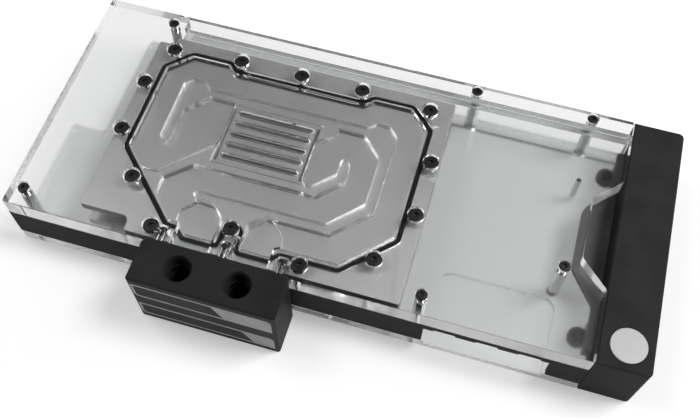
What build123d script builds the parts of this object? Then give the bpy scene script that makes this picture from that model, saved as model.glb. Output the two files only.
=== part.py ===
"""Water block for a graphics card, with a second cooled plate behind the board.

A clear cover is clamped on a plated cold plate. Coolant enters and leaves by two
threaded ports in the terminal, runs through channels milled in the cover, and passes
under the jet plate over the fins. The lower half mirrors this for the back of the board.
All sizes are in millimetres. X runs along the length, Y from the ports to the back,
Z up. The origin is at the bottom centre of the whole block.
"""

import os

from build123d import *

os.makedirs("parts", exist_ok=True)

# Overall sizes
block_l = 302.0
block_d = 128.5
end_l = 24.3
lower_t = 6.0
gap_h = 19.5
cover_t = 10.0
seat_gap = 0.1

# Terminal
terminal_x = 72.0
terminal_l = 69.6
terminal_d = 22.2
terminal_rise = 5.0
terminal_front_r = 1.5
terminal_back_r = 3.5
terminal_edge_r = 0.9
port_spacing = 28.0
port_bore_r = 6.6
port_depth = 7.4
port_way_r = 5.0

# Cold plates
plate_x = 32.3
plate_y = 4.7
plate_l = 158.0
plate_gap = 0.5
plate_t = 4.5
plate_corner_r = 1.0
front_notch_l = 25.2
front_notch_d = 7.3
back_notch_l = 8.4
back_notch_d = 4.6
notch_r = 3.0
rear_plate_t = 4.0
land_h = 1.8
rear_land_h = 1.0
land_l = 13.0
land_d = 15.0
land_pitch_x = 16.0
land_pitch_y = 18.0
land_rows_y = 68.0
land_cols_x = 82.0
strip_l = 9.0
strip_d = 84.0
strip_inset = 6.0

# Gasket, its groove and the wall between groove and channel
gasket_w = 2.3
gasket_h = 1.9
groove_side_gap = 0.15
groove_wall = 1.0
channel_depth = 4.6
rear_channel_depth = 2.8
rear_gasket_h = 1.5

# Jet plate and fins
jet_x = 84.2
jet_l = 45.1
jet_y = 51.2
jet_t = 0.8
jet_margin = 1.6
jet_slot_w = 2.4
fin_pitch = 1.0
fin_slot_w = 0.5
fin_depth = 3.0
bar_pitch = 6.4
bar_w = 3.2
bar_depth = 1.6
bar_inset = 2.4

# Water ways from the terminal
way_l = 18.2
way_shift = 1.3
way_h = 4.8
way_roof = 2.5
rear_way_h = 2.0
rear_way_floor = 2.0
ring_t = 1.0
ring_d = 1.0
ring_clear = 0.5
ring_r = 1.2

# Walls between the covers
frame_t = 3.0
window_gap = 13.0
window_end = 16.2
window_top_strip = 3.6
window_post_gap = 4.2
recess_in = 1.5
recess_over = 10.0
recess_d = 36.0
recess_r = 6.0
recess_h = 2.0
lug_drop = 1.2
lug_w = 9.7
rear_wall_t = 3.8
rear_wall_x = 43.0
ledge_d = 6.3
ledge_t = 3.8

# Notch, bracket, end cover and badge
notch_d = 13.1
notch_l = 58.8
side_notch_x = 17.7
side_notch_y = 63.3
lower_back_step = 2.5
bracket_l = 15.3
bracket_h = 12.5
bracket_t = 2.0
bracket_end_gap = 10.6
bracket_step = 11.8
bracket_step_y = 21.0
foot_inset = 19.9
foot_r = 4.8
foot_t = 3.0
post_l = 10.0
post_w = 15.0
foot_screw_depth = 4.0
end_wall = 2.2
end_r = 2.6
slot_floor = 8.0
badge_r = 8.3
badge_t = 1.4
badge_proud = 0.4
badge_in = 11.7
badge_shift = 0.4

# Screws: M4 for the cover, M3 for posts and feet, M2.5 for the terminal
m4_r = 2.0
m4_head_r = 3.8
m4_head_h = 2.4
m4_socket = 2.5
m4_bury = 0.8
m3_r = 1.5
m3_head_r = 2.7
m3_head_h = 1.9
m3_socket = 2.0
m3_bury = 0.4
m25_r = 1.25
m25_head_r = 2.2
m25_head_h = 2.4
m25_socket = 2.0
m25_l = 14.0
hole_gap = 0.15
thread_gap = 0.02
head_gap = 0.3
thread_depth = 3.6
post_af = 5.0
pin_l = 15.0
pin_r = 1.4
pin_bore_r = 0.8
pin_bore_l = 6.0
pin_seat = 3.0
pocket_back_wall = 7.6

# Levels and lengths that follow
cover_l = block_l - end_l
overall_d = block_d + terminal_d
z_floor = lower_t
z_deck = lower_t + gap_h
z_top = z_deck + cover_t
terminal_h = z_top + terminal_rise
mid_y = block_d / 2
full_d = block_d - ledge_d
plate_x1 = plate_x + plate_l
plate_y1 = full_d - rear_wall_t - plate_gap
notch_x = cover_l - notch_d
window_x = plate_x1 + window_gap
window_l = cover_l - window_end - window_x
window_post_x = window_x - window_post_gap
jet_x1 = jet_x + jet_l
terminal_mid = terminal_x + terminal_l / 2
groove_w = gasket_w + 2 * groove_side_gap
channel_inset = groove_w / 2 + groove_wall

corner = Plane(origin=(-block_l / 2, terminal_d - overall_d / 2, 0))
front_face = Plane(
    origin=corner.from_local_coords((0, 0, 0)), x_dir=(1, 0, 0), z_dir=(0, -1, 0)
)


def at(x, y, z):
    """Place measured from the block's front left bottom corner."""
    return corner.from_local_coords((x, y, z))


def from_below(x, y, z):
    """The same, turned over so that a screw points up."""
    return Location(at(x, y, z), (180, 0, 0))


def closed_face(points, radius, grow=0.0):
    """Face inside a closed outline with rounded corners, grown by an amount."""
    with BuildSketch(mode=Mode.PRIVATE) as face:
        with BuildLine():
            FilletPolyline(*points, radius=radius, close=True)
        make_face()
        if grow:
            offset(amount=grow)
    return face.sketch


def band(points, radius, width):
    """Closed band of one width along an outline."""
    with BuildSketch(mode=Mode.PRIVATE) as ring:
        add(closed_face(points, radius, width / 2))
        add(closed_face(points, radius, -width / 2), mode=Mode.SUBTRACT)
    return ring.sketch


def socket_screw(head_r, head_h, shank_r, shank_l, socket):
    """Round-headed screw with a hexagon socket, its head seated at z = 0."""
    with BuildPart() as screw:
        Cylinder(head_r, head_h, align=(Align.CENTER, Align.CENTER, Align.MIN))
        chamfer(screw.edges().group_by(Axis.Z)[-1], length=head_h / 3)
        Cylinder(shank_r, shank_l, align=(Align.CENTER, Align.CENTER, Align.MAX))
        with BuildSketch(Plane.XY.offset(head_h)):
            RegularPolygon(radius=socket / 2, side_count=6, major_radius=False)
        extrude(amount=-0.6 * head_h, mode=Mode.SUBTRACT)
    return screw.part


# Screw places, from the block's front left corner
side_inset = 4.3
right_inset = 3.6
row_inset = 8.3
side_back = 34.1
right_back = 39.8
cover_screw_places = [
    (plate_x + side_inset, 54.4),
    (plate_x + side_inset, plate_y1 - side_back),
    (plate_x + 11.4, plate_y1 - 11.0),
    (terminal_mid - 27.5, plate_y1 - row_inset),
    (terminal_mid + 4.7, plate_y1 - row_inset),
    (terminal_mid + 36.7, plate_y1 - row_inset),
    (plate_x1 - 11.1, plate_y1 - 10.5),
    (plate_x1 - right_inset, plate_y1 - right_back),
    (plate_x1 - right_inset, 48.2),
    (plate_x1 - 16.1, plate_y + 16.1),
    (terminal_x + terminal_l + 1.0, plate_y + 3.7),
    (terminal_mid, plate_y + 12.4),
    (terminal_x - 1.0, plate_y + 3.7),
    (plate_x + 20.0, plate_y + terminal_mid - plate_x - 48.8),
]
loop_x, loop_y = cover_screw_places[11]
rear_screw_places = [
    (plate_x + side_inset, 36.0),
    (plate_x + side_inset, plate_y1 - side_back),
    (60.0, plate_y1 - row_inset + 2),
    (terminal_mid, plate_y1 - row_inset + 2),
    (155.0, plate_y1 - row_inset + 2),
    (plate_x1 - right_inset, plate_y1 - side_back),
    (plate_x1 - right_inset, 36.0),
    (157.0, plate_y + 3.7),
    (65.0, plate_y + 3.7),
]
post_places = [
    (6.1, 9.9),
    (37.1, block_d - 5.9),
    (window_post_x, block_d - 3.4),
    (cover_l - 20.1, block_d - 3.4),
    (cover_l - 20.1, 41.7),
    (window_post_x, 9.9),
]
pin_place = (cover_l - 20.0, 94.7)
foot_places = [(cover_l - 5.5, foot_inset), (cover_l - 5.5, block_d - foot_inset)]
bracket_x = cover_l - bracket_l
post_x = cover_l - 2.6

# Gasket outline: long runs joined by 45 degree corners, with a step past each group of
# screws and a loop round the screw between the ports
run_left = plate_x + 8.4
run_right = plate_x1 - 8.4
run_back = plate_y1 - 8.0
run_dip = plate_y1 - 12.3
run_front = plate_y + 7.95
run_ports = plate_y + 3.95
loop_r = 4.1
port_run_left = terminal_mid - 25.9
port_run_right = terminal_mid + 20.8
front_left_cut = port_run_left - run_left - 5.0
front_right_cut = 22.2
back_left_cut = 11.7
back_right_cut = 11.4
step_cut = 4.3
dip_in_left = 32.6
dip_in_right = 32.0
dip_left = run_left + dip_in_left
dip_right = run_right - dip_in_right
gasket_points = [
    (run_left, run_front + front_left_cut),
    (run_left + front_left_cut, run_front),
    (port_run_left, run_front),
    (port_run_left + run_front - run_ports, run_ports),
    (loop_x - loop_r, run_ports),
    (loop_x - loop_r, loop_y + loop_r),
    (loop_x + loop_r, loop_y + loop_r),
    (loop_x + loop_r, run_ports),
    (port_run_right, run_ports),
    (port_run_right + run_front - run_ports, run_front),
    (run_right - front_right_cut, run_front),
    (run_right, run_front + front_right_cut),
    (run_right, run_back - back_right_cut),
    (run_right - back_right_cut, run_back),
    (dip_right, run_back),
    (dip_right - step_cut, run_dip),
    (dip_left + step_cut, run_dip),
    (dip_left, run_back),
    (run_left + back_left_cut, run_back),
    (run_left, run_back - back_left_cut),
]
gasket_r = [3.5, 3.5, 2.5, 2.5, 2.5, loop_r - 0.05, loop_r - 0.05, 2.5, 2.5, 2.5]
gasket_r += [3.5, 3.5, 3.5, 3.5, 2.5, 2.5, 2.5, 2.5, 3.5, 3.5]

# The lower half's simpler gasket outline
rear_cut = 14.0
rear_gasket_points = [
    (run_left, run_front + rear_cut),
    (run_left + rear_cut, run_front),
    (run_right - rear_cut, run_front),
    (run_right, run_front + rear_cut),
    (run_right, run_dip - rear_cut),
    (run_right - rear_cut, run_dip),
    (run_left + rear_cut, run_dip),
    (run_left, run_dip - rear_cut),
]

# Ribs left standing in the channels. The outer rib hooks round the fins from the left
# and joins the land between the ports.
rib_w = 5.3
rib_left = run_left + 14.2
rib_right = run_right - 14.6
rib_front = run_front + 15.95
rib_back = run_back - 19.2
back_arm_w = 4.5
ear = 3.4
jet_d = rib_back - back_arm_w - jet_y
bar_count = int(jet_d / bar_pitch)
way_left = terminal_mid - port_spacing / 2 - way_shift
way_right = terminal_mid + port_spacing / 2 - way_shift + 0.1
port_side_l = terminal_mid - 6.4
port_side_r = terminal_mid + 6.3
outer_rib = [
    (rib_left + 2.7, 54.3),
    (rib_left, 57.2),
    (rib_left, rib_back - 1.2),
    (rib_left + ear + 0.7, rib_back + ear),
    (rib_left + 3 * ear, rib_back + ear),
    (rib_left + 3 * ear + 3.2, rib_back),
    (rib_right - 4 * ear - 2, rib_back),
    (rib_right - 4 * ear + 2, rib_back + ear),
    (rib_right - 5, rib_back + ear),
    (rib_right, rib_back - 1.4),
    (rib_right, rib_front + 16.9),
    (rib_right - 17.0, rib_front),
    (port_side_r + 6.7, rib_front),
    (port_side_r, 21.9),
    (port_side_r, loop_y),
    (port_side_l, loop_y),
    (port_side_l, 22.2),
    (port_side_l - 4.9, 27.1),
    (port_side_l - 8.4, 28.4),
    (port_side_l - 15.9, rib_front + 0.2),
    (port_side_l - 18.0, rib_front + 2.3),
    (port_side_l - 15.9, rib_front + 4.6),
    (rib_right - 20.1, rib_front + 4.6),
    (rib_right - rib_w, rib_front + 20.0),
    (rib_right - rib_w, rib_back - 15.4),
    (rib_right - rib_w - 10.9, rib_back - back_arm_w),
    (rib_left + rib_w + 11.0, rib_back - back_arm_w),
    (rib_left + rib_w, rib_back - 15.4),
    (rib_left + rib_w, 57.0),
]
# The inner rib starts at the wall beside the left port, carries the block over the fins
# and ends in a short upright arm.
inner_rib = [
    (48.0, 37.7),
    (60.8, 38.2),
    (jet_x, 61.4),
    (jet_x, rib_back - 3),
    (jet_x1 + 7.1, rib_back - 3),
    (jet_x1 + 9.8, rib_back - 6.5),
    (jet_x1, rib_back - 16.1),
    (jet_x1, jet_y + 2.0),
    (jet_x1 + 2.4, jet_y - 0.3),
    (jet_x1 + 5.5, jet_y - 0.3),
    (jet_x1 + 15.2, jet_y + 9.4),
    (jet_x1 + 15.2, jet_y + 17.0),
    (jet_x1 + 17.4, jet_y + 19.2),
    (jet_x1 + 20.2, jet_y + 16.3),
    (jet_x1 + 20.2, jet_y + 6.4),
    (jet_x1 + 8.8, jet_y - 4.9),
    (76.3, jet_y - 4.9),
    (64.9, 36.2),
    (64.9, 24.0),
    (52.0, 24.0),
]
left_port_pocket = [
    (port_side_l - 19.8, 8.0),
    (port_side_l, 8.0),
    (port_side_l, 22.2),
    (port_side_l - 4.9, 27.1),
    (port_side_l - 8.4, 28.4),
    (port_side_l - 11.7, 28.4),
    (port_side_l - 19.8, 20.3),
]
right_port_pocket = [
    (port_side_r, 8.0),
    (port_side_r + 18.5, 8.0),
    (port_side_r + 18.5, 19.4),
    (port_side_r + 9.3, rib_front),
    (port_side_r + 6.7, rib_front),
    (port_side_r, 21.9),
]

# Terminal screws lie along Y, with their heads in pockets of the covers
terminal_screw_xs = [terminal_x + 4.6, terminal_mid, terminal_x + terminal_l - 6.9]
upper_screw_z = z_deck + 4.3
lower_screw_z = z_floor / 2
head_pocket_d = m25_head_h + 0.7
head_pocket_w = 2 * m25_head_r + 0.3


def port_pocket(points):
    """Port pocket: the part of an outline that lies inside the channel's wall."""
    with BuildSketch(mode=Mode.PRIVATE) as pocket:
        add(closed_face(points, 0.8))
        add(closed_face(gasket_points, gasket_r, -channel_inset), mode=Mode.INTERSECT)
    return pocket.sketch


def pointed_bar(length, width):
    """Bar with a point at each end."""
    side = length / 2 - width / 2
    return closed_face([
        (-length / 2, 0),
        (-side, -width / 2),
        (side, -width / 2),
        (length / 2, 0),
        (side, width / 2),
        (-side, width / 2),
    ], 0.2)


# Clear top cover
with BuildPart() as top_cover:
    with BuildSketch(corner.offset(z_deck)):
        add(closed_face([
            (0, 0),
            (cover_l, 0),
            (cover_l, mid_y - notch_l / 2),
            (notch_x, mid_y - notch_l / 2 + notch_d),
            (notch_x, mid_y + notch_l / 2 - notch_d),
            (cover_l, mid_y + notch_l / 2),
            (cover_l, block_d),
            (0, block_d),
        ], [1, 1, 4, 4, 4, 4, 1, 1]))
    extrude(amount=cover_t)
    # Step under the back edge
    with BuildSketch(corner.offset(z_deck)):
        with Locations((rear_wall_x, full_d)):
            Rectangle(cover_l, 2 * ledge_d, align=(Align.MIN, Align.MIN))
    extrude(amount=cover_t - ledge_t, mode=Mode.SUBTRACT)
    # Groove for the gasket
    with BuildSketch(corner.offset(z_deck)):
        add(band(gasket_points, gasket_r, groove_w))
    extrude(amount=gasket_h, mode=Mode.SUBTRACT)
    # Channels round the ribs
    with BuildSketch(corner.offset(z_deck)):
        add(closed_face(gasket_points, gasket_r, -channel_inset))
        add(closed_face(outer_rib, 1.2), mode=Mode.SUBTRACT)
        add(closed_face(inner_rib, 1.2), mode=Mode.SUBTRACT)
    extrude(amount=channel_depth, mode=Mode.SUBTRACT)
    # Recess over the jet plate, open to the channels left and right
    with BuildSketch(corner.offset(z_deck)):
        with Locations((jet_x - 1, jet_y)):
            Rectangle(jet_l + 2, jet_d, align=(Align.MIN, Align.MIN))
    extrude(amount=jet_t + seat_gap, mode=Mode.SUBTRACT)
    # Long six-sided slots over the fins
    with BuildSketch(corner.offset(z_deck)):
        with Locations((jet_x + jet_l / 2, jet_y + jet_d / 2)):
            with GridLocations(1, bar_pitch, 1, bar_count):
                add(pointed_bar(jet_l - 2 * bar_inset, bar_w))
    extrude(amount=jet_t + bar_depth, mode=Mode.SUBTRACT)
    # Port pockets, and the ways that reach them over the gasket
    with BuildSketch(corner.offset(z_deck)):
        add(port_pocket(left_port_pocket))
        add(port_pocket(right_port_pocket))
    extrude(amount=cover_t - way_roof, mode=Mode.SUBTRACT)
    with BuildSketch(corner.offset(z_top - way_roof - way_h)):
        with Locations((way_left, -1), (way_right, -1)):
            Rectangle(way_l, run_front + 3, align=(Align.CENTER, Align.MIN))
    extrude(amount=way_h, mode=Mode.SUBTRACT)
    # Pockets and holes for the terminal's screws
    with BuildSketch(corner.offset(z_deck)):
        with Locations(*[(x, pocket_back_wall) for x in terminal_screw_xs]):
            Rectangle(head_pocket_w, head_pocket_d, align=(Align.CENTER, Align.MIN))
    extrude(amount=upper_screw_z - z_deck + m25_head_r + 0.2, mode=Mode.SUBTRACT)
    with BuildSketch(front_face):
        with Locations(*[(x, upper_screw_z) for x in terminal_screw_xs]):
            Circle(m25_r + hole_gap)
    extrude(amount=-pocket_back_wall - 0.5, mode=Mode.SUBTRACT)
    # Counterbored holes for the cover screws and the post screws
    with Locations(*[at(x, y, z_top) for x, y in cover_screw_places]):
        CounterBoreHole(m4_r + hole_gap, m4_head_r + head_gap, m4_head_h + m4_bury, cover_t)
    with Locations(*[at(x, y, z_top) for x, y in post_places]):
        CounterBoreHole(m3_r + hole_gap, m3_head_r + head_gap, m3_head_h + m3_bury, cover_t)
top_cover.part.label = "top_cover"

# Nickel-plated cold plate
with BuildPart() as cold_plate:
    with BuildSketch(corner.offset(z_deck - plate_t)):
        add(closed_face([
            (plate_x, plate_y + front_notch_d),
            (plate_x + front_notch_l, plate_y + front_notch_d),
            (plate_x + front_notch_l, plate_y),
            (plate_x1, plate_y),
            (plate_x1, plate_y1),
            (plate_x + back_notch_l, plate_y1),
            (plate_x + back_notch_l, plate_y1 - back_notch_d),
            (plate_x, plate_y1 - back_notch_d),
        ], [plate_corner_r, notch_r, 1, 1, 1, 1, 1, plate_corner_r]))
    extrude(amount=plate_t)
    # Slots between the fins
    with BuildSketch(corner.offset(z_deck)):
        with Locations((jet_x + jet_l / 2, jet_y + jet_d / 2)):
            with GridLocations(1, fin_pitch, 1, int((jet_d - 2 * jet_margin) / fin_pitch)):
                Rectangle(jet_l, fin_slot_w)
    extrude(amount=-fin_depth, mode=Mode.SUBTRACT)
    # Lands for the chip, its memory and the power stages
    with BuildSketch(corner.offset(z_deck - plate_t)):
        with Locations((jet_x + jet_l / 2, jet_y + jet_d / 2)):
            Rectangle(jet_l - 8, jet_d - 4)
            with GridLocations(land_pitch_x, land_rows_y, 3, 2):
                Rectangle(land_l, land_d)
            with GridLocations(land_cols_x, land_pitch_y, 2, 3):
                Rectangle(land_l, land_d)
        with Locations((plate_x + strip_inset, mid_y), (plate_x1 - strip_inset, mid_y)):
            Rectangle(strip_l, strip_d)
    extrude(amount=-land_h)
    with Locations(*[at(x, y, z_deck) for x, y in cover_screw_places]):
        Hole(m4_r + thread_gap, depth=thread_depth + 0.4)
cold_plate.part.label = "cold_plate"

# Gasket between cover and cold plate
with BuildPart() as cold_plate_gasket:
    with BuildSketch(corner.offset(z_deck)):
        add(band(gasket_points, gasket_r, gasket_w))
    extrude(amount=gasket_h)
    chamfer(cold_plate_gasket.edges().group_by(Axis.Z)[-1], length=0.5)
cold_plate_gasket.part.label = "cold_plate_gasket"

# Steel jet plate on the fins, with a slot under each long slot of the cover
with BuildPart() as jet_plate:
    with BuildSketch(corner.offset(z_deck)):
        with Locations((jet_x + jet_l / 2, jet_y + jet_d / 2)):
            RectangleRounded(jet_l - 2 * jet_margin, jet_d - 0.4, 1.0)
            with GridLocations(1, bar_pitch, 1, bar_count):
                slot_l = jet_l - 2 * bar_inset - (bar_w - jet_slot_w)
                add(pointed_bar(slot_l, jet_slot_w), mode=Mode.SUBTRACT)
    extrude(amount=jet_t)
jet_plate.part.label = "jet_plate"

# Cover screws, black, heads just below the surface
m4_screw = socket_screw(
    m4_head_r, m4_head_h, m4_r, cover_t - m4_bury - m4_head_h + thread_depth, m4_socket
)
with BuildPart() as cover_screws:
    with Locations(*[at(x, y, z_top - m4_bury - m4_head_h) for x, y in cover_screw_places]):
        add(m4_screw)
cover_screws.part.label = "cover_screws"

# Hexagon posts between the covers, longer under the ledge, and a thin round pin pressed
# into the lower cover near the board's end
with BuildPart() as standoffs:
    under_ledge = [place for place in post_places if place[1] > full_d and place[0] > rear_wall_x]
    under_cover = [place for place in post_places if place not in under_ledge]
    for places, height in (
        (under_cover, gap_h),
        (under_ledge, gap_h + cover_t - ledge_t),
    ):
        with BuildSketch(corner.offset(z_floor)):
            with Locations(*places):
                RegularPolygon(post_af / 2, 6, major_radius=False)
                Circle(m3_r + thread_gap, mode=Mode.SUBTRACT)
        extrude(amount=height)
    with BuildSketch(corner.offset(z_floor - pin_seat)):
        with Locations(pin_place):
            Circle(pin_r)
    extrude(amount=pin_seat + pin_l)
    with Locations(at(*pin_place, z_floor + pin_l)):
        Hole(pin_bore_r, depth=pin_bore_l)
standoffs.part.label = "standoffs"

m3_screw = socket_screw(
    m3_head_r, m3_head_h, m3_r, cover_t - m3_bury - m3_head_h + thread_depth, m3_socket
)
with BuildPart() as standoff_screws:
    with Locations(*[at(x, y, z_top - m3_bury - m3_head_h) for x, y in post_places]):
        add(m3_screw)
standoff_screws.part.label = "standoff_screws"

m3_short_screw = socket_screw(
    m3_head_r, m3_head_h, m3_r, lower_t - m3_bury - m3_head_h + thread_depth, m3_socket
)
with BuildPart() as lower_standoff_screws:
    with Locations(*[from_below(x, y, m3_bury + m3_head_h) for x, y in post_places]):
        add(m3_short_screw)
lower_standoff_screws.part.label = "lower_standoff_screws"

# Terminal with two threaded ports, feeding both covers from two vertical ways
with BuildPart() as terminal_block:
    with BuildSketch(corner):
        add(closed_face([
            (terminal_x, -terminal_d),
            (terminal_x + terminal_l, -terminal_d),
            (terminal_x + terminal_l, 0),
            (terminal_x, 0),
        ], [terminal_front_r, terminal_front_r, terminal_back_r, terminal_back_r]))
    extrude(amount=terminal_h)
    chamfer(terminal_block.edges().group_by(Axis.Z)[-1], length=terminal_edge_r)
    with Locations(*[
        at(terminal_mid + side * port_spacing / 2, -terminal_d / 2, terminal_h)
        for side in (-1, 1)
    ]):
        CounterBoreHole(port_way_r, port_bore_r, port_depth, terminal_h - rear_way_floor)
    # Ways out of the back face, and a groove round each for its ring
    ways = [
        (way_left, z_top - way_roof - way_h / 2, way_h),
        (way_right, z_top - way_roof - way_h / 2, way_h),
        (way_left, rear_way_floor + rear_way_h / 2, rear_way_h),
        (way_right, rear_way_floor + rear_way_h / 2, rear_way_h),
    ]
    with BuildSketch(front_face):
        for way_x, way_z, height in ways:
            with Locations((way_x, way_z)):
                Rectangle(way_l, height)
    extrude(amount=terminal_d / 2, mode=Mode.SUBTRACT)
    with BuildSketch(front_face) as ring_grooves:
        for way_x, way_z, height in ways:
            with Locations((way_x, way_z)):
                outer = 2 * (ring_clear + ring_t)
                RectangleRounded(way_l + outer, height + outer, ring_r)
                Rectangle(way_l + 2 * ring_clear, height + 2 * ring_clear, mode=Mode.SUBTRACT)
    extrude(amount=ring_d, mode=Mode.SUBTRACT)
    with BuildSketch(front_face):
        for height in (upper_screw_z, lower_screw_z):
            with Locations(*[(x, height) for x in terminal_screw_xs]):
                Circle(m25_r + thread_gap)
    extrude(amount=m25_l - pocket_back_wall + 1, mode=Mode.SUBTRACT)
terminal_block.part.label = "terminal_block"

with BuildPart() as terminal_gaskets:
    extrude(ring_grooves.sketch, amount=ring_d)
terminal_gaskets.part.label = "terminal_gaskets"

m25_screw = socket_screw(m25_head_r, m25_head_h, m25_r, m25_l, m25_socket)
with BuildPart() as terminal_screws:
    with Locations(*[
        Location(at(x, pocket_back_wall, z), (-90, 0, 0))
        for x in terminal_screw_xs for z in (upper_screw_z, lower_screw_z)
    ]):
        add(m25_screw)
terminal_screws.part.label = "terminal_screws"

# Black front wall with the window for the power connector
with BuildPart() as side_frame:
    with BuildSketch(corner.offset(z_floor)):
        Rectangle(cover_l, frame_t, align=(Align.MIN, Align.MIN))
    extrude(amount=gap_h)
    with BuildSketch(front_face):
        with Locations((window_x, z_floor - 1)):
            Rectangle(
                window_l, gap_h - window_top_strip - lug_drop + 1, align=(Align.MIN, Align.MIN)
            )
        with Locations((window_x + window_l / 2, z_deck - window_top_strip - lug_drop)):
            with GridLocations(2 * lug_w, 1, round(window_l / (2 * lug_w)), 1):
                Rectangle(lug_w, 2 * lug_drop)
    extrude(amount=-frame_t, mode=Mode.SUBTRACT)
side_frame.part.label = "side_frame"

# Clear strip along the back
with BuildPart() as rear_wall:
    with BuildSketch(corner.offset(z_floor)):
        with Locations((rear_wall_x, full_d)):
            Rectangle(cover_l - rear_wall_x, rear_wall_t, align=(Align.MIN, Align.MAX))
    extrude(amount=gap_h)
    chamfer(rear_wall.edges().filter_by(Axis.Z), length=0.4)
rear_wall.part.label = "rear_wall"

# Clear lower cover with its own channel
with BuildPart() as lower_cover:
    with BuildSketch(corner):
        add(closed_face([
            (0, 0),
            (cover_l, 0),
            (cover_l, block_d),
            (rear_wall_x, block_d),
            (rear_wall_x, block_d - lower_back_step),
            (side_notch_x, block_d - lower_back_step),
            (side_notch_x, side_notch_y),
            (0, side_notch_y),
        ], [1, 1, 1, 1, 1, 2, 2, 2]))
    extrude(amount=lower_t)
    with BuildSketch(corner.offset(z_floor)):
        add(band(rear_gasket_points, 3.0, groove_w))
    extrude(amount=-rear_gasket_h, mode=Mode.SUBTRACT)
    # U-shaped channel: in by one port, round the end of the divider, out by the other
    with BuildSketch(corner.offset(z_floor)):
        add(closed_face(rear_gasket_points, 3.0, -channel_inset))
        with Locations((terminal_mid, 0)):
            Rectangle(rib_w, run_dip - 22, align=(Align.CENTER, Align.MIN), mode=Mode.SUBTRACT)
    extrude(amount=-rear_channel_depth, mode=Mode.SUBTRACT)
    with BuildSketch(corner.offset(rear_way_floor)):
        with Locations((way_left, -1), (way_right, -1)):
            Rectangle(way_l, run_front + 9, align=(Align.CENTER, Align.MIN))
    extrude(amount=rear_way_h, mode=Mode.SUBTRACT)
    # Recess under the power connector
    with BuildSketch(corner.offset(z_floor)):
        with Locations((window_x + window_l / 2, -recess_over)):
            RectangleRounded(
                window_l - 2 * recess_in, recess_d + recess_over, recess_r,
                align=(Align.CENTER, Align.MIN),
            )
    extrude(amount=-recess_h, mode=Mode.SUBTRACT)
    with BuildSketch(corner.offset(lower_screw_z - m25_head_r - 0.2)):
        with Locations(*[(x, pocket_back_wall) for x in terminal_screw_xs]):
            Rectangle(head_pocket_w, head_pocket_d, align=(Align.CENTER, Align.MIN))
    extrude(amount=lower_t, mode=Mode.SUBTRACT)
    with BuildSketch(front_face):
        with Locations(*[(x, lower_screw_z) for x in terminal_screw_xs]):
            Circle(m25_r + hole_gap)
    extrude(amount=-pocket_back_wall - 0.5, mode=Mode.SUBTRACT)
    with Locations(*[from_below(x, y, 0) for x, y in post_places + rear_screw_places]):
        CounterBoreHole(m3_r + hole_gap, m3_head_r + head_gap, m3_head_h + m3_bury, lower_t)
    with Locations(*[at(x, y, z_floor) for x, y in foot_places]):
        Hole(m3_r + thread_gap, depth=foot_screw_depth + 0.5)
    with Locations(at(*pin_place, z_floor)):
        Hole(pin_r + thread_gap, depth=pin_seat)
lower_cover.part.label = "lower_cover"

# Cold plate that faces the back of the board
with BuildPart() as rear_cold_plate:
    with BuildSketch(corner.offset(z_floor)):
        add(closed_face([
            (plate_x, plate_y + front_notch_d),
            (plate_x + front_notch_l / 2, plate_y + front_notch_d),
            (plate_x + front_notch_l / 2, plate_y),
            (plate_x1, plate_y),
            (plate_x1, plate_y1),
            (plate_x, plate_y1),
        ], plate_corner_r))
    extrude(amount=rear_plate_t)
    with BuildSketch(corner.offset(z_floor + rear_plate_t)):
        with Locations((jet_x + jet_l / 2, jet_y + jet_d / 2)):
            with GridLocations(land_pitch_x, land_rows_y, 3, 2):
                Rectangle(land_l, land_d)
            with GridLocations(land_cols_x, land_pitch_y, 2, 3):
                Rectangle(land_l, land_d)
    extrude(amount=rear_land_h)
    with Locations(*[from_below(x, y, z_floor) for x, y in rear_screw_places]):
        Hole(m3_r + thread_gap, depth=rear_plate_t - 0.6)
rear_cold_plate.part.label = "rear_cold_plate"

with BuildPart() as rear_gasket:
    with BuildSketch(corner.offset(z_floor)):
        add(band(rear_gasket_points, 3.0, gasket_w))
    extrude(amount=-rear_gasket_h)
rear_gasket.part.label = "rear_gasket"

m3_plate_screw = socket_screw(
    m3_head_r, m3_head_h, m3_r, lower_t - m3_bury - m3_head_h + rear_plate_t - 1, m3_socket
)
with BuildPart() as rear_screws:
    with Locations(*[from_below(x, y, m3_bury + m3_head_h) for x, y in rear_screw_places]):
        add(m3_plate_screw)
rear_screws.part.label = "rear_screws"

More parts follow.
